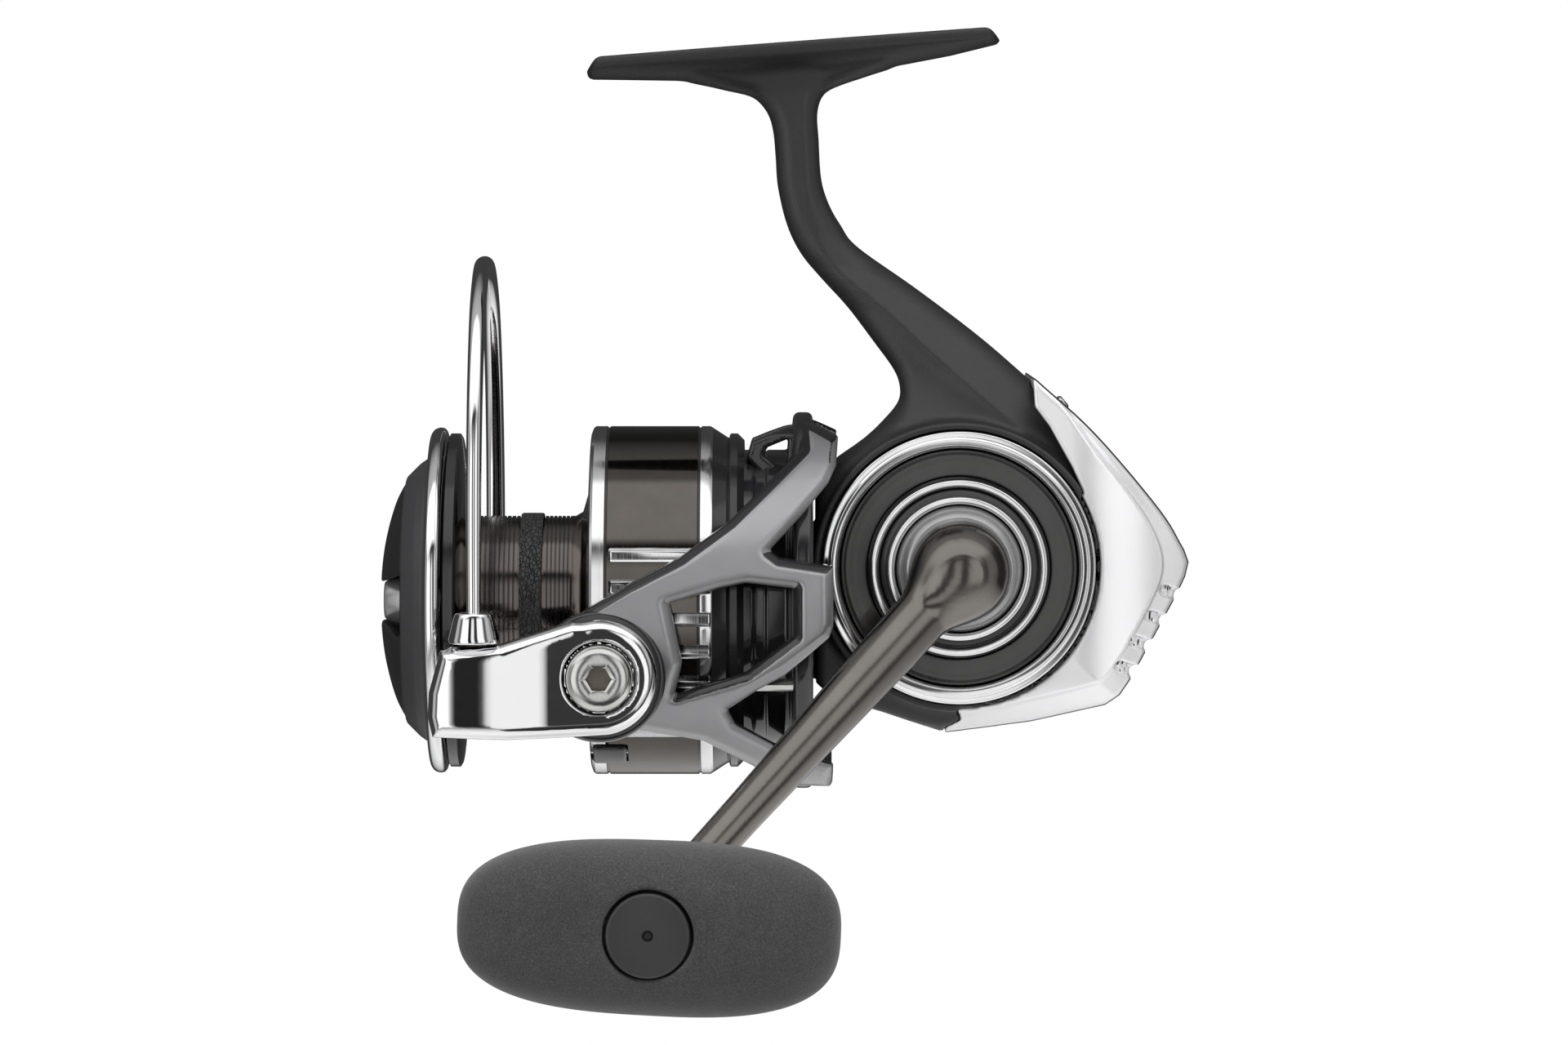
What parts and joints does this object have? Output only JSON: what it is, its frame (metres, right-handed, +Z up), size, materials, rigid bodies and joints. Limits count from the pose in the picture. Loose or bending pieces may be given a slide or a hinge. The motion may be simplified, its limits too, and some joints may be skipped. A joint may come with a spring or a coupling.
{
  "type": "spinning reel",
  "caption": "Fixed-spool fishing reel with foot, geared rotor and bail, front-drag spool and T-bar handle on the left.",
  "frame": {"origin": "centre of the foot's flat top face, where it lies on a rod's reel seat", "axes": "+X forward along the rod, +Y to the handle side, +Z up into the rod; the spool axis rises 4.3 degrees towards +X"},
  "size_m": [0.1328, 0.1309, 0.1487],
  "materials": {
    "housing_paint": "matt black textured paint",
    "cover_metal": "bright satin silver",
    "bright_ring": "turned and polished",
    "black_plastic": "dark satin to gloss",
    "rotor_paint": "grey metallic paint",
    "handle_metal": "gun-metal gloss paint",
    "chrome": "mirror polish",
    "spool_metal": "dark gun-metal anodised, turned",
    "knob_foam": "dense fine-celled foam",
    "rubber": "knurled",
    "felt": "oiled felt",
    "brass": "machined",
    "steel": "machined"
  },
  "bodies": {
    "body": {"body_housing": "housing_paint", "side_cover": "black_plastic", "cover_outer_ring": "bright_ring", "cover_inner_ring": "bright_ring", "bearing_cap": "black_plastic", "seal_ring": "bright_ring", "drive_bearing_near": "steel", "drive_bearing_far": "steel", "shaft_cap": "black_plastic", "rear_cover": "cover_metal", "rear_cover_screw_upper": "steel", "rear_cover_screw_lower": "steel", "pinion_bearing": "steel", "anti_reverse_clutch": "steel", "slider_guide_rod": "steel"},
    "handle": {"drive_gear": "brass", "gear_shaft": "steel", "handle_collar": "rotor_paint", "handle_arm": "handle_metal", "knob_post": "steel"},
    "knob": {"handle_knob": "knob_foam", "knob_cap": "black_plastic", "knob_bearing_inner": "steel", "knob_bearing_outer": "steel"},
    "oscillator": {"oscillating_gear": "brass"},
    "rotor": {"rotor": "rotor_paint", "pinion": "steel", "clutch_sleeve": "steel", "rotor_nut": "brass", "pivot_screw_near": "steel", "pivot_screw_far": "steel"},
    "trip": {"trip_lever": "steel"},
    "bail": {"bail_arm": "chrome", "bail_holder": "chrome", "bail_wire": "chrome", "wire_cone": "chrome", "roller_screw": "steel"},
    "roller": {"line_roller": "chrome", "roller_bearing": "steel"},
    "shaft": {"main_shaft": "steel", "slider": "steel", "slider_screw": "steel", "click_gear": "black_plastic", "spool_washer": "black_plastic"},
    "spool": {"spool": "spool_metal", "spool_lip": "bright_ring", "line_grip_band": "rubber", "line_clip": "black_plastic", "drag_washer_rear": "felt", "drag_washer_steel": "steel", "drag_washer_front": "felt", "drag_retainer": "steel"},
    "drag": {"drag_knob": "black_plastic", "drag_knob_boss": "rotor_paint", "drag_nut": "steel", "drag_spring": "steel"}
  },
  "joints": [
    {"name": "handle_turn", "type": "hinge", "parent": "body", "child": "handle", "pos_m": [-0.01982, 0, -0.08718], "axis": [0, 1, 0], "continuous": true},
    {"name": "knob_spin", "type": "hinge", "parent": "handle", "child": "knob", "pos_m": [0.03278, 0.075, -0.13487], "axis": [0, 1, 0], "continuous": true},
    {"name": "oscillator_spin", "type": "hinge", "parent": "body", "child": "oscillator", "pos_m": [-0.01887, 0.01, -0.09975], "axis": [0, 1, 0], "continuous": true},
    {"name": "rotor_spin", "type": "hinge", "parent": "body", "child": "rotor", "pos_m": [0.01058, 0, -0.09141], "axis": [0.9972, 0, 0.075], "continuous": true},
    {"name": "bail_flip", "type": "hinge", "parent": "rotor", "child": "bail", "pos_m": [0.03896, 0, -0.09931], "axis": [0, 1, 0], "range_deg": [0, 105]},
    {"name": "trip_slide", "type": "slide", "parent": "rotor", "child": "trip", "axis": [-0.9972, 0, -0.075], "range_m": [0, 0.0031]},
    {"name": "roller_spin", "type": "hinge", "parent": "bail", "child": "roller", "pos_m": [0.05935, 0.032, -0.09978], "axis": [-0.075, 0, 0.9972], "continuous": true},
    {"name": "spool_slide", "type": "slide", "parent": "body", "child": "shaft", "axis": [0.9972, 0, 0.075], "range_m": [0, 0.016]},
    {"name": "spool_slip", "type": "hinge", "parent": "shaft", "child": "spool", "pos_m": [0.05047, 0, -0.08841], "axis": [0.9972, 0, 0.075], "continuous": true},
    {"name": "drag_turn", "type": "hinge", "parent": "shaft", "child": "drag", "pos_m": [0.06842, 0, -0.08707], "axis": [0.9972, 0, 0.075], "range_deg": [-360, 360]}
  ],
  "couplings": [
    {"joint": "rotor_spin", "follows": "handle_turn", "ratio": 5.7143},
    {"joint": "oscillator_spin", "follows": "handle_turn", "ratio": -0.38461},
    {"joint": "trip_slide", "follows": "bail_flip", "m_per_rad": 0.001637}
  ]
}
